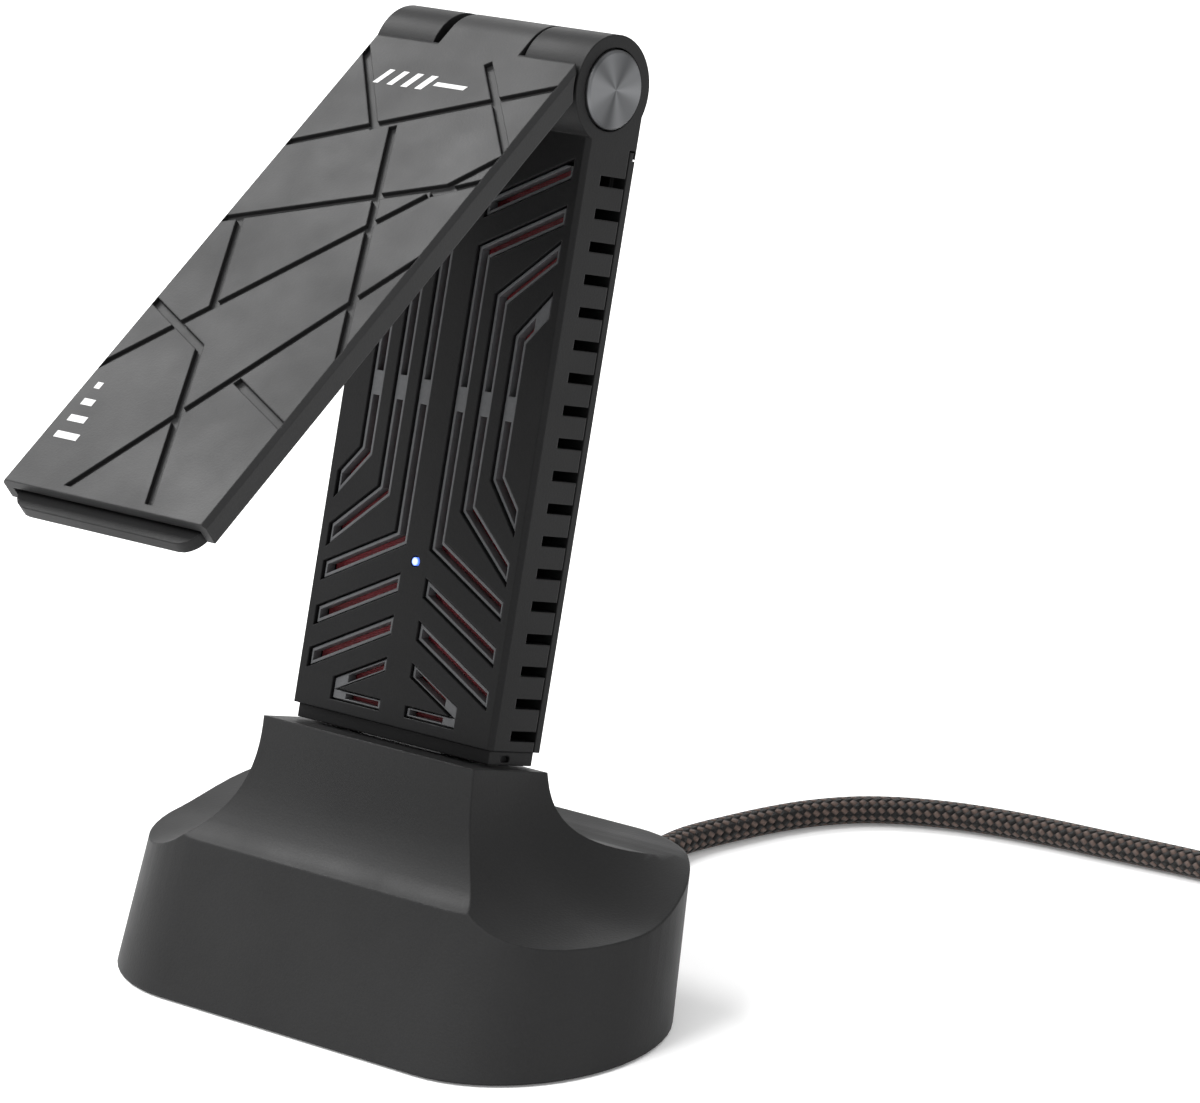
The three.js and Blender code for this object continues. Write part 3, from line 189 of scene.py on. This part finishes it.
def tube_mesh(name, path, radius, sides):
    """A round tube along a path, with UV running along it in metres and round it from 0 to 1."""
    mesh = bpy.data.meshes.new(name)
    bm = bmesh.new()
    layer = bm.loops.layers.uv.new("along")
    rings = []
    run = 0.0
    runs = []
    side = Vector((1, 0, 0))
    for i, point in enumerate(path):
        ahead = path[min(i + 1, len(path) - 1)] - path[max(i - 1, 0)]
        ahead.normalize()
        side = (side - ahead * side.dot(ahead)).normalized()
        over = ahead.cross(side)
        if i:
            run += (point - path[i - 1]).length
        runs.append(run)
        ring = []
        for k in range(sides):
            t = 2 * math.pi * k / sides
            out = side * (radius * math.cos(t)) + over * (radius * math.sin(t))
            ring.append(bm.verts.new(point + out))
        rings.append(ring)
    for i in range(len(rings) - 1):
        for k in range(sides):
            j = (k + 1) % sides
            face = bm.faces.new((rings[i][k], rings[i][j], rings[i + 1][j], rings[i + 1][k]))
            face.smooth = True
            for loop, (u, v) in zip(face.loops, (
                    (runs[i], k / sides), (runs[i], (k + 1) / sides),
                    (runs[i + 1], (k + 1) / sides), (runs[i + 1], k / sides))):
                loop[layer].uv = (u, v)
    bm.faces.new(rings[0][::-1])
    bm.faces.new(rings[-1])
    bmesh.ops.recalc_face_normals(bm, faces=bm.faces)
    bm.to_mesh(mesh)
    bm.free()
    obj = bpy.data.objects.new(name, mesh)
    bpy.context.collection.objects.link(obj)
    return obj, run


cable, cable_length = tube_mesh("braided_cable", cable_path, CABLE_D / 2, TUBE_SIDES)

STRANDS = 10  # strands each way round the sleeve
LAY = 0.0118  # a strand goes once round in this length


def math_node(nodes, operation, a, b=None):
    """One Math node; a and b are sockets or numbers."""
    node = nodes.new("ShaderNodeMath")
    node.operation = operation
    for socket, value in zip(node.inputs, (a, b)):
        if value is None:
            continue
        if isinstance(value, (int, float)):
            socket.default_value = value
        else:
            node.id_data.links.new(value, socket)
    return node.outputs[0]


def mix_colour(nodes, links, factor, a, b, blend="MIX"):
    """A colour Mix node; a and b are colours or sockets."""
    node = nodes.new("ShaderNodeMix")
    node.data_type = "RGBA"
    node.blend_type = blend
    if isinstance(factor, (int, float)):
        node.inputs["Factor"].default_value = factor
    else:
        links.new(factor, node.inputs["Factor"])
    for name, value in (("A", a), ("B", b)):
        if isinstance(value, tuple):
            node.inputs[name].default_value = (*value[:3], 1)
        else:
            links.new(value, node.inputs[name])
    return node.outputs["Result"]


# two sets of flat strands spiral round the sleeve and pass over and under each other
braid, nodes, links, shader = node_material("braid")
uv = nodes.new("ShaderNodeUVMap")
uv.uv_map = "along"
split = nodes.new("ShaderNodeSeparateXYZ")
links.new(uv.outputs[0], split.inputs[0])
along = math_node(nodes, "MULTIPLY", split.outputs[0], 1 / LAY)
leading = math_node(nodes, "ADD", along, split.outputs[1])
first = math_node(nodes, "MULTIPLY", leading, STRANDS)
trailing = math_node(nodes, "SUBTRACT", along, split.outputs[1])
second = math_node(nodes, "MULTIPLY", trailing, STRANDS)
first_cell = math_node(nodes, "FLOOR", first)
second_cell = math_node(nodes, "FLOOR", second)
humps = []
for value, cell in ((first, first_cell), (second, second_cell)):
    inside = math_node(nodes, "SUBTRACT", value, cell)
    humps.append(math_node(nodes, "SINE", math_node(nodes, "MULTIPLY", inside, math.pi)))
EVEN_OFFSET = 4000  # keeps the count of cells above nought
cells = math_node(nodes, "ADD", math_node(nodes, "ADD", first_cell, second_cell), EVEN_OFFSET)
over = math_node(nodes, "MODULO", cells, 2)
arches = []
for own, other in (humps, humps[::-1]):
    lift = math_node(nodes, "ADD", math_node(nodes, "MULTIPLY", other, 0.5), 0.5)
    arches.append(math_node(nodes, "MULTIPLY", own, lift))
top = nodes.new("ShaderNodeMix")
top.data_type = "FLOAT"
links.new(over, top.inputs["Factor"])
links.new(arches[0], top.inputs["A"])
links.new(arches[1], top.inputs["B"])
strand_height = top.outputs["Result"]
threads = nodes.new("ShaderNodeTexNoise")
threads.inputs["Scale"].default_value = 5200
threads.inputs["Detail"].default_value = 2
place = nodes.new("ShaderNodeTexCoord")
links.new(place.outputs["Object"], threads.inputs["Vector"])
BLACK_YARN = (0.003, 0.003, 0.003)
BROWN_YARN = (0.125, 0.087, 0.073)
YARN_FLUFF = (0.022, 0.017, 0.015)
yarn = mix_colour(nodes, links, over, BLACK_YARN, BROWN_YARN)
tuft = math_node(nodes, "MULTIPLY", threads.outputs["Fac"], 0.3)
yarn = mix_colour(nodes, links, tuft, yarn, YARN_FLUFF)
# painted shade: the yarn darkens where a strand dips under the other and in the gaps between strands
valley_painted_shade = nodes.new("ShaderNodeValToRGB")
valley_painted_shade.color_ramp.elements[0].color = (0.03, 0.03, 0.03, 1)
valley_painted_shade.color_ramp.elements[1].position = 0.65
links.new(strand_height, valley_painted_shade.inputs[0])
shaded_yarn = mix_colour(nodes, links, 1.0, yarn, valley_painted_shade.outputs[0], "MULTIPLY")
links.new(shaded_yarn, shader.inputs["Base Color"])
bump = nodes.new("ShaderNodeBump")
bump.inputs["Strength"].default_value = 1
bump.inputs["Distance"].default_value = 0.00035
rough_height = math_node(nodes, "MULTIPLY", threads.outputs["Fac"], 0.25)
links.new(math_node(nodes, "ADD", strand_height, rough_height), bump.inputs["Height"])
links.new(bump.outputs[0], shader.inputs["Normal"])
shader.inputs["Roughness"].default_value = 0.6
shader.inputs["Specular IOR Level"].default_value = 0.22
shader.inputs["Sheen Weight"].default_value = 0.06
cable.data.materials.append(braid)
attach(cable, "cradle")
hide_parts("cable_lead", "cable_coil", "cable_tail")


def in_frame(nodes, links, lean=0.0, origin=(0, 0, 0)):
    """Object coordinates turned upright about X and measured from a point, in metres."""
    place = nodes.new("ShaderNodeTexCoord")
    turn = nodes.new("ShaderNodeMapping")
    spin = Matrix.Rotation(lean, 3, "X")
    turn.inputs["Rotation"].default_value = (lean, 0, 0)
    turn.inputs["Location"].default_value = -(spin @ Vector(origin))
    links.new(place.outputs["Object"], turn.inputs["Vector"])
    return turn.outputs[0]


def worn_surface():
    """A shared group: gloss variation, a tint mask and fine grain for a moulded or cast skin."""
    tree = bpy.data.node_groups.new("worn_surface", "ShaderNodeTree")
    for name, kind, way in (
            ("Grain Scale", "NodeSocketFloat", "INPUT"),
            ("Grain Depth", "NodeSocketFloat", "INPUT"),
            ("Edge Radius", "NodeSocketFloat", "INPUT"),
            ("Gloss Low", "NodeSocketFloat", "INPUT"),
            ("Gloss High", "NodeSocketFloat", "INPUT"),
            ("Roughness", "NodeSocketFloat", "OUTPUT"),
            ("Tint", "NodeSocketFloat", "OUTPUT"),
            ("Normal", "NodeSocketVector", "OUTPUT")):
        tree.interface.new_socket(name=name, in_out=way, socket_type=kind)
    nodes, links = tree.nodes, tree.links
    given = nodes.new("NodeGroupInput")
    result = nodes.new("NodeGroupOutput")
    place = nodes.new("ShaderNodeTexCoord")
    grain = nodes.new("ShaderNodeTexNoise")
    grain.inputs["Detail"].default_value = 2
    links.new(given.outputs["Grain Scale"], grain.inputs["Scale"])
    links.new(place.outputs["Object"], grain.inputs["Vector"])
    smudge = nodes.new("ShaderNodeTexNoise")
    smudge.inputs["Scale"].default_value = 70
    smudge.inputs["Detail"].default_value = 4
    smudge.inputs["Roughness"].default_value = 0.6
    links.new(place.outputs["Object"], smudge.inputs["Vector"])
    gloss = nodes.new("ShaderNodeMapRange")
    gloss.inputs["From Min"].default_value = 0.3
    gloss.inputs["From Max"].default_value = 0.7
    links.new(given.outputs["Gloss Low"], gloss.inputs["To Min"])
    links.new(given.outputs["Gloss High"], gloss.inputs["To Max"])
    links.new(smudge.outputs["Fac"], gloss.inputs["Value"])
    links.new(gloss.outputs[0], result.inputs["Roughness"])
    swing = math_node(nodes, "SUBTRACT", grain.outputs["Fac"], 0.5)
    speckle = math_node(nodes, "MULTIPLY", swing, 0.8)
    links.new(math_node(nodes, "ADD", smudge.outputs["Fac"], speckle), result.inputs["Tint"])
    edge = nodes.new("ShaderNodeBevel")
    edge.samples = 6
    links.new(given.outputs["Edge Radius"], edge.inputs["Radius"])
    bump = nodes.new("ShaderNodeBump")
    bump.inputs["Strength"].default_value = 0.5
    links.new(given.outputs["Grain Depth"], bump.inputs["Distance"])
    links.new(grain.outputs["Fac"], bump.inputs["Height"])
    links.new(edge.outputs[0], bump.inputs["Normal"])
    links.new(bump.outputs[0], result.inputs["Normal"])
    return tree


worn = worn_surface()


def finish_material(name, dark, light, metallic, gloss, grain, depth, edge=0.00015,
                    specular=0.5):
    """A material whose colour, gloss and grain come from the shared surface group."""
    mat, nodes, links, shader = node_material(name)
    group = nodes.new("ShaderNodeGroup")
    group.node_tree = worn
    for socket, value in (("Grain Scale", grain), ("Grain Depth", depth), ("Edge Radius", edge),
                          ("Gloss Low", gloss[0]), ("Gloss High", gloss[1])):
        group.inputs[socket].default_value = value
    skin = mix_colour(nodes, links, group.outputs["Tint"], dark, light)
    links.new(skin, shader.inputs["Base Color"])
    links.new(group.outputs["Roughness"], shader.inputs["Roughness"])
    links.new(group.outputs["Normal"], shader.inputs["Normal"])
    shader.inputs["Metallic"].default_value = metallic
    shader.inputs["Specular IOR Level"].default_value = specular
    return mat


def dress(name, mat):
    """Puts a material on a carried-over CAD piece."""
    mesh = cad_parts[name].data
    mesh.materials.clear()
    mesh.materials.append(mat)


WELD = 0.000002


def moulding(name, body, mat, angle=28):
    """A welded copy of a piece: its curved faces shade smooth and its edges stay crisp."""
    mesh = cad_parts[name].data.copy()
    piece = bpy.data.objects.new(name + "_moulding", mesh)
    bpy.context.collection.objects.link(piece)
    bpy.ops.object.select_all(action="DESELECT")
    piece.select_set(True)
    bpy.context.view_layer.objects.active = piece
    if mesh.has_custom_normals:
        bpy.ops.mesh.customdata_custom_splitnormals_clear()
    bpy.ops.object.mode_set(mode="EDIT")
    bpy.ops.mesh.select_all(action="SELECT")
    bpy.ops.mesh.remove_doubles(threshold=WELD)
    bpy.ops.object.mode_set(mode="OBJECT")
    bpy.ops.object.shade_smooth_by_angle(angle=math.radians(angle))
    mesh.materials.clear()
    mesh.materials.append(mat)
    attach(piece, body)
    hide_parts(name)
    return piece


# ---------------------------------------------------------------- strain relief and far plug
# The cable's end fittings: a ribbed rubber grommet in the cradle's back, and a moulded USB-A plug
# with a folded steel shell. A hook-and-loop band holds the coil.
rubber = finish_material("black_rubber", (0.008, 0.008, 0.008), (0.020, 0.020, 0.020), 0,
                         (0.62, 0.8), 1900, 0.00003, specular=0.3)
relief = moulding("cable_relief", "cradle", rubber, 35)
far_black = finish_material("plug_moulding", (0.010, 0.010, 0.011), (0.020, 0.020, 0.021), 0,
                            (0.45, 0.6), 2600, 0.00003, edge=0.0003, specular=0.35)
far_body = moulding("far_plug_body", "cradle", far_black, 35)
plug_metal = finish_material("plug_metal", (0.55, 0.55, 0.56), (0.74, 0.74, 0.75), 1,
                             (0.22, 0.36), 1400, 0.000008, edge=0.0002)
contact_gold = finish_material("contact_gold", (0.78, 0.56, 0.22), (0.90, 0.68, 0.32), 1,
                               (0.2, 0.3), 1200, 0.000006)
white_plastic = finish_material("white_plastic", (0.72, 0.72, 0.69), (0.84, 0.84, 0.81), 0,
                                (0.4, 0.5), 1600, 0.00001)
dress("far_plug_shell", plug_metal)
dress("far_plug_tongue", white_plastic)
for k in range(1, 5):
    dress(f"far_plug_contact_{k}", contact_gold)

tie, nodes, links, shader = node_material("tie_fabric")
place = nodes.new("ShaderNodeTexCoord")
loops = nodes.new("ShaderNodeTexVoronoi")
loops.inputs["Scale"].default_value = 2600
links.new(place.outputs["Object"], loops.inputs["Vector"])
LOOP_BLACK = (0.006, 0.006, 0.006)
LOOP_GREY = (0.03, 0.03, 0.03)
pile = mix_colour(nodes, links, loops.outputs["Distance"], LOOP_BLACK, LOOP_GREY)
links.new(pile, shader.inputs["Base Color"])
bump = nodes.new("ShaderNodeBump")
bump.inputs["Strength"].default_value = 0.8
bump.inputs["Distance"].default_value = 0.00015
links.new(loops.outputs["Distance"], bump.inputs["Height"])
links.new(bump.outputs[0], shader.inputs["Normal"])
shader.inputs["Roughness"].default_value = 0.9
shader.inputs["Sheen Weight"].default_value = 0.3
dress("cable_tie", tie)

# ---------------------------------------------------------------- the cradle
# A one-piece moulded shell of matt black ABS with swept shoulders, closed below by a screwed plate
# with a rubber pad. Two steel blocks inside keep it from tipping.
cradle_black = finish_material("cradle_black", (0.0085, 0.0085, 0.0088), (0.0135, 0.0135, 0.0138), 0,
                               (0.46, 0.58), 3400, 0.000035, edge=0.0004, specular=0.21)
moulding("cradle_shell", "cradle", cradle_black, 26)
dress("cradle_base_plate", far_black)
dress("cradle_foot_pad", rubber)
zinc = finish_material("zinc_steel", (0.48, 0.49, 0.51), (0.64, 0.65, 0.67), 1,
                       (0.28, 0.42), 1500, 0.00001)
for k in range(1, 5):
    dress(f"cradle_screw_{k}", zinc)
raw_steel = finish_material("ballast_steel", (0.30, 0.30, 0.31), (0.46, 0.45, 0.44), 1,
                            (0.4, 0.6), 500, 0.00004)
dress("cradle_ballast_left", raw_steel)
dress("cradle_ballast_right", raw_steel)
dress("socket_shell", plug_metal)
dress("socket_tongue", white_plastic)

# printed circuit board: green lacquer over a grid of copper tracks
board, nodes, links, shader = node_material("circuit_board")
place = nodes.new("ShaderNodeTexCoord")
tracks = nodes.new("ShaderNodeTexBrick")
tracks.inputs["Scale"].default_value = 260
tracks.inputs["Mortar Size"].default_value = 0.06
tracks.inputs["Color1"].default_value = (0.006, 0.075, 0.030, 1)
tracks.inputs["Color2"].default_value = (0.008, 0.095, 0.038, 1)
tracks.inputs["Mortar"].default_value = (0.030, 0.190, 0.070, 1)
links.new(place.outputs["Object"], tracks.inputs["Vector"])
links.new(tracks.outputs["Color"], shader.inputs["Base Color"])
bump = nodes.new("ShaderNodeBump")
bump.inputs["Strength"].default_value = 0.4
bump.inputs["Distance"].default_value = 0.00003
links.new(tracks.outputs["Fac"], bump.inputs["Height"])
links.new(bump.outputs[0], shader.inputs["Normal"])
shader.inputs["Roughness"].default_value = 0.32
dress("cradle_board", board)

# ---------------------------------------------------------------- the adapter body
# The moulded black body shell with its slotted face, and the flat cover that closes its back.
LEAN = math.radians(18)
SEAT = Matrix.Translation((0, 0.0066, 0.0288)) @ Matrix.Rotation(-LEAN, 4, "X")
# Part of this black's darkness is painted shade: it stands in for the flap's shadow over the slotted
# face, besides the plastic's own black.
body_black_painted_shade = finish_material("body_black_painted_shade", (0.0045, 0.0045, 0.0048), (0.0085, 0.0085, 0.0088), 0,
                             (0.42, 0.54), 3600, 0.00003, edge=0.00022, specular=0.16)
moulding("body_shell", "adapter", body_black_painted_shade, 26)
dress("back_cover", body_black_painted_shade)
dress("plug_collar", body_black_painted_shade)

# Satin grey frame whose raised beads stand in the slots of the face.
# This grey is darkened partly as painted shade, standing in for the flap's shadow over the upper
# slots; the rest is the frame's own grey.
frame_grey_painted_shade = finish_material("grey_plastic", (0.055, 0.056, 0.059), (0.090, 0.092, 0.096), 0,
                             (0.34, 0.46), 3000, 0.00002, edge=0.00012, specular=0.45)
dress("vent_frame", frame_grey_painted_shade)

# Dark red woven dust mesh stretched behind the slots.
mesh_red, nodes, links, shader = node_material("red_mesh")
flat = nodes.new("ShaderNodeSeparateXYZ")
links.new(in_frame(nodes, links, LEAN, (0, 0.0066, 0.0288)), flat.inputs[0])
MESH_PITCH = 0.00042
wires = []
for axis in (0, 2):
    turns_of = math_node(nodes, "MULTIPLY", flat.outputs[axis], 2 * math.pi / MESH_PITCH)
    wires.append(math_node(nodes, "ABSOLUTE", math_node(nodes, "SINE", turns_of)))
wire = math_node(nodes, "MAXIMUM", wires[0], wires[1])
shade = nodes.new("ShaderNodeValToRGB")
shade.color_ramp.elements[0].position = 0.45
shade.color_ramp.elements[0].color = (0.020, 0.001, 0.003, 1)
shade.color_ramp.elements[1].position = 0.95
shade.color_ramp.elements[1].color = (0.330, 0.020, 0.035, 1)
links.new(wire, shade.inputs[0])
patch = nodes.new("ShaderNodeTexNoise")
patch.inputs["Scale"].default_value = 160
place = nodes.new("ShaderNodeTexCoord")
links.new(place.outputs["Object"], patch.inputs["Vector"])
links.new(mix_colour(nodes, links, patch.outputs["Fac"], shade.outputs[0], (0.10, 0.012, 0.012)),
          shader.inputs["Base Color"])
bump = nodes.new("ShaderNodeBump")
bump.inputs["Strength"].default_value = 0.7
bump.inputs["Distance"].default_value = 0.0001
links.new(wire, bump.inputs["Height"])
links.new(bump.outputs[0], shader.inputs["Normal"])
shader.inputs["Roughness"].default_value = 0.5
dress("vent_liner", mesh_red)

# Status light: a clear pipe lit from the board, white in the middle and blue round it.
light, nodes, links, shader = node_material("light_window")
spot = nodes.new("ShaderNodeVectorMath")
spot.operation = "LENGTH"
centre = SEAT @ Vector((0, -0.0043, 0.0181))
links.new(in_frame(nodes, links, 0, centre), spot.inputs[0])
glow = nodes.new("ShaderNodeValToRGB")
glow.color_ramp.elements[0].color = (0.75, 0.85, 1.0, 1)
glow.color_ramp.elements[0].position = 0.15
glow.color_ramp.elements[1].color = (0.10, 0.22, 1.0, 1)
LIGHT_RADIUS = 0.000476  # the glow turns blue at this distance from its middle
from_middle = math_node(nodes, "DIVIDE", spot.outputs["Value"], LIGHT_RADIUS)
links.new(from_middle, glow.inputs[0])
links.new(glow.outputs[0], shader.inputs["Emission Color"])
links.new(glow.outputs[0], shader.inputs["Base Color"])
shader.inputs["Emission Strength"].default_value = 1.1
shader.inputs["Roughness"].default_value = 0.25
dress("light_pipe", light)
dress("light_chip", white_plastic)

# Inside: the radio board, its pressed tin shield and the soft pad that carries heat to the back.
dress("main_board", board)
shield = finish_material("shield_tin", (0.50, 0.50, 0.49), (0.66, 0.66, 0.65), 1,
                         (0.3, 0.5), 700, 0.00002)
dress("radio_shield", shield)
pad = finish_material("pad_rubber", (0.20, 0.22, 0.25), (0.30, 0.32, 0.35), 0,
                      (0.7, 0.85), 1100, 0.00003)
dress("thermal_pad", pad)
dress("plug_shell", plug_metal)
dress("plug_tongue", white_plastic)
for k in range(1, 5):
    dress(f"plug_contact_{k}", contact_gold)

# ---------------------------------------------------------------- the hinge
# A steel pin through three knuckles with plastic washers, hidden at both ends by turned and dark
# anodised discs with fine rings; the fans of light off the rings are painted into their colour as
# painted reflections.
dress("hinge_pin", zinc)
dress("hinge_washer_left", far_black)
dress("hinge_washer_right", far_black)
HINGE = Vector((0, -0.00165, 0.0718))  # in the adapter's own frame
AXIS = SEAT @ HINGE
spun, nodes, links, shader = node_material("spun_metal")
flat = nodes.new("ShaderNodeSeparateXYZ")
links.new(in_frame(nodes, links, LEAN, AXIS), flat.inputs[0])
angle = math_node(nodes, "ARCTAN2", flat.outputs[2], flat.outputs[1])
painted_reflection_fans = None
# painted reflection fans round the disc: how many, where they start and how strong
for count, phase, weight in ((2, 1.55, 0.20), (4, 0.35, 0.16), (6, 2.3, 0.10), (9, 0.9, 0.06)):
    turn = math_node(nodes, "ADD", math_node(nodes, "MULTIPLY", angle, count), phase)
    reflection_wave = math_node(nodes, "MULTIPLY", math_node(nodes, "SINE", turn), weight)
    painted_reflection_fans = reflection_wave if painted_reflection_fans is None else math_node(nodes, "ADD", painted_reflection_fans, reflection_wave)
painted_reflection_fans = math_node(nodes, "ADD", painted_reflection_fans, 0.5)
squares = [math_node(nodes, "MULTIPLY", flat.outputs[k], flat.outputs[k]) for k in (1, 2)]
radius = math_node(nodes, "SQRT", math_node(nodes, "ADD", squares[0], squares[1]))
RING_PITCH = 0.00011
rings = math_node(nodes, "SINE", math_node(nodes, "MULTIPLY", radius, 2 * math.pi / RING_PITCH))
# disc colour: painted reflection fans plus a faint pattern of the turned rings
fan_reflections_and_rings = math_node(nodes, "ADD", painted_reflection_fans, math_node(nodes, "MULTIPLY", rings, 0.03))
# painted reflection: the dark and light fans stand in for light caught by the rings
DARK_FAN_PAINTED_REFLECTION = (0.034, 0.035, 0.037)
LIGHT_FAN_PAINTED_REFLECTION = (0.175, 0.178, 0.184)
links.new(mix_colour(nodes, links, fan_reflections_and_rings, DARK_FAN_PAINTED_REFLECTION, LIGHT_FAN_PAINTED_REFLECTION), shader.inputs["Base Color"])
bump = nodes.new("ShaderNodeBump")
bump.inputs["Strength"].default_value = 0.25
bump.inputs["Distance"].default_value = 0.00001
links.new(rings, bump.inputs["Height"])
edge = nodes.new("ShaderNodeBevel")
edge.inputs["Radius"].default_value = 0.0002
links.new(edge.outputs[0], bump.inputs["Normal"])
links.new(bump.outputs[0], shader.inputs["Normal"])
shader.inputs["Metallic"].default_value = 0.85
shader.inputs["Roughness"].default_value = 0.36
for side in ("left", "right"):
    moulding(f"hinge_disc_{side}", "adapter", spun, 30)

# ---------------------------------------------------------------- the flap
# The antenna flap: a moulded cover with a cut line pattern, closed inside by a shallow tray that
# holds two antenna boards.
flap_black = finish_material("flap_black", (0.0100, 0.0100, 0.0104), (0.0165, 0.0165, 0.0169), 0,
                             (0.44, 0.56), 3600, 0.00003, edge=0.00022, specular=0.24)
moulding("flap_cover", "flap", flap_black, 26)
moulding("flap_tray", "flap", body_black_painted_shade, 30)
dress("antenna_board_left", board)
dress("antenna_board_right", board)

# Pale pad-printed marks on the flap: slanted bars near the hinge and rising bars near the tip.
FLAP_OPEN = math.radians(41)
FLAP = SEAT @ Matrix.Translation(HINGE) @ Matrix.Rotation(-FLAP_OPEN, 4, "X")
FACE_Y = -0.0059
INK = 0.00003  # thickness of the print
INK_LIFT = 0.000002
ink = finish_material("print_ink", (0.50, 0.50, 0.50), (0.68, 0.68, 0.68), 0,
                      (0.5, 0.65), 4200, 0.00001, edge=0.00001, specular=0.3)


def printed_mark(name, bars):
    """Thin printed bars joined into one piece; each is (x, u, width, length, slant)."""
    parts = []
    for x, u, width, length, slant in bars:
        bpy.ops.object.select_all(action="DESELECT")
        bpy.ops.mesh.primitive_cube_add(size=1, location=(0, 0, 0))
        bar = bpy.context.object
        bar.data.transform(Matrix.Diagonal((width, INK, length, 1)))
        for corner in bar.data.vertices:
            corner.co.x += corner.co.z * slant
        bar.data.transform(Matrix.Translation((x, FACE_Y - INK / 2 - INK_LIFT, -u)))
        parts.append(bar)
    bpy.ops.object.select_all(action="DESELECT")
    for bar in parts:
        bar.select_set(True)
    bpy.context.view_layer.objects.active = parts[0]
    bpy.ops.object.join()
    mark = bpy.context.object
    mark.name = name
    mark.data.transform(FLAP)
    mark.data.materials.clear()
    mark.data.materials.append(ink)
    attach(mark, "flap")


BARS_FROM_HINGE = 0.0083
SLANT = 0.45
slanted = [(-0.0090 + 0.0021 * k, BARS_FROM_HINGE, 0.00075 + 0.00007 * k, 0.0022, SLANT)
           for k in range(4)]
slanted.append((0.0008, BARS_FROM_HINGE, 0.0044, 0.0006, SLANT))
printed_mark("hinge_end_mark", slanted)
rising = [(-0.0129 + 0.00042 * (k + 1), 0.0570 + 0.0024 * k, 0.00084 * (k + 1), 0.0009, 0)
          for k in range(4)]
printed_mark("tip_end_mark", rising)
